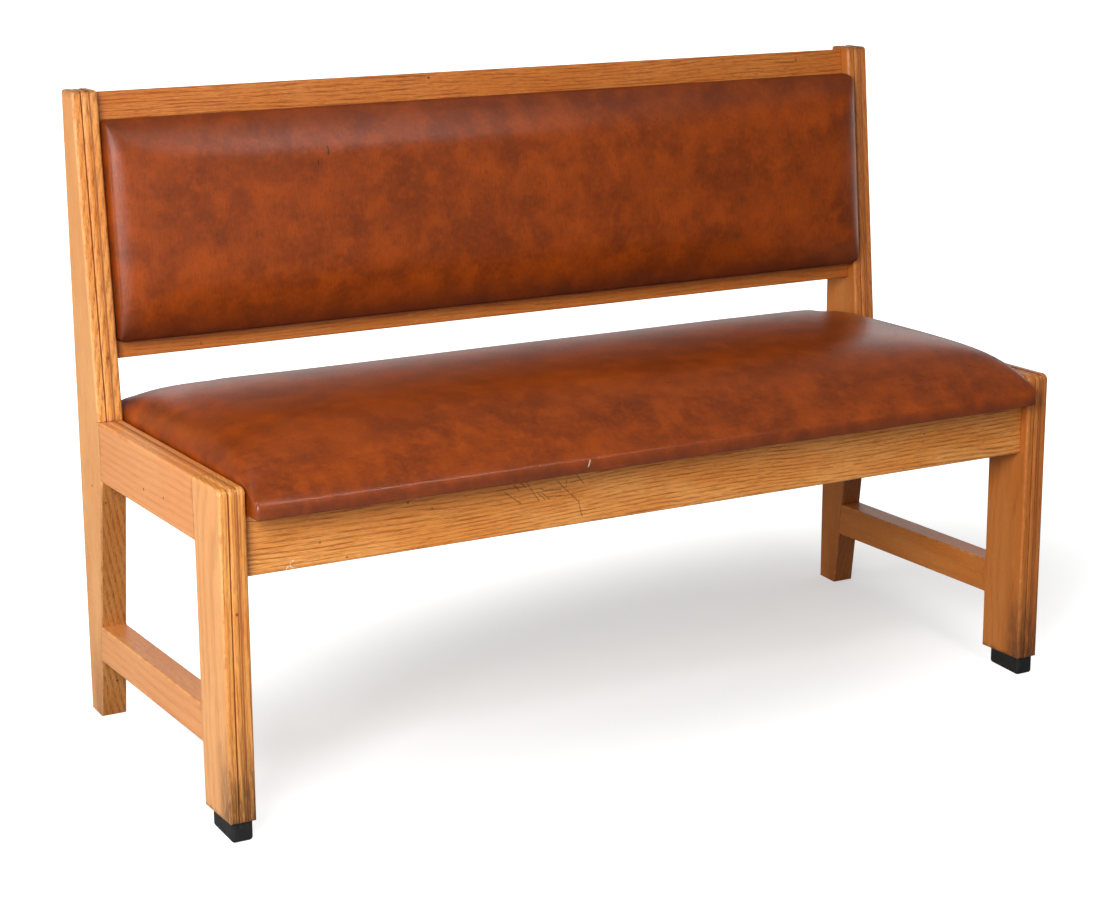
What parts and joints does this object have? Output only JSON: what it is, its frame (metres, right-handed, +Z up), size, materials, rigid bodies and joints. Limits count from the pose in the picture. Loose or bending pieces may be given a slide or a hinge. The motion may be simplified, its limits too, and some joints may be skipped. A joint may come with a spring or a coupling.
{
  "type": "upholstered oak bench settle",
  "caption": "Low-backed oak bench settle with reeded end frames, a thick padded seat, a padded back between raked posts and rubber blocks under the front legs.",
  "frame": {"origin": "middle of the base, on the floor that the bench stands on", "axes": "+X along the bench to a sitter's left, which is the right-hand end seen from the front; +Y from the front of the seat to the back; +Z up. right_ and left_ in node names are as seen from the front."},
  "size_m": [1.258, 0.5336, 0.8421],
  "materials": {
    "oak": "honey-coloured oak under an old clear finish, worn and knocked at its edges",
    "vinyl": "tan leather-look vinyl with a smooth mottled face and a satin shine",
    "foam": "upholstery foam, out of sight inside the covers",
    "plywood": "bare plywood, seen only from behind and below",
    "block_rubber": "black moulded rubber, matt and dusty",
    "screw_steel": "plain countersunk wood screws"
  },
  "bodies": {
    "root": {"back_board": "plywood", "back_board_screws": "screw_steel", "back_cover": "vinyl", "back_foam": "foam", "corner_block_screws": "screw_steel", "front_seat_rail": "oak", "left_front_corner_block": "oak", "left_front_leg": "oak", "left_rear_corner_block": "oak", "left_rear_post": "oak", "left_rubber_block": "block_rubber", "left_seat_batten": "oak", "left_side_rail": "oak", "left_stretcher": "oak", "lower_back_rail": "oak", "rear_seat_rail": "oak", "right_front_corner_block": "oak", "right_front_leg": "oak", "right_rear_corner_block": "oak", "right_rear_post": "oak", "right_rubber_block": "block_rubber", "right_seat_batten": "oak", "right_side_rail": "oak", "right_stretcher": "oak", "rubber_block_screws": "screw_steel", "seat_batten_screws": "screw_steel", "seat_bearer": "oak", "seat_board": "plywood", "seat_board_screws": "screw_steel", "seat_cover": "vinyl", "seat_foam": "foam", "top_back_rail": "oak"}
  },
  "joints": []
}
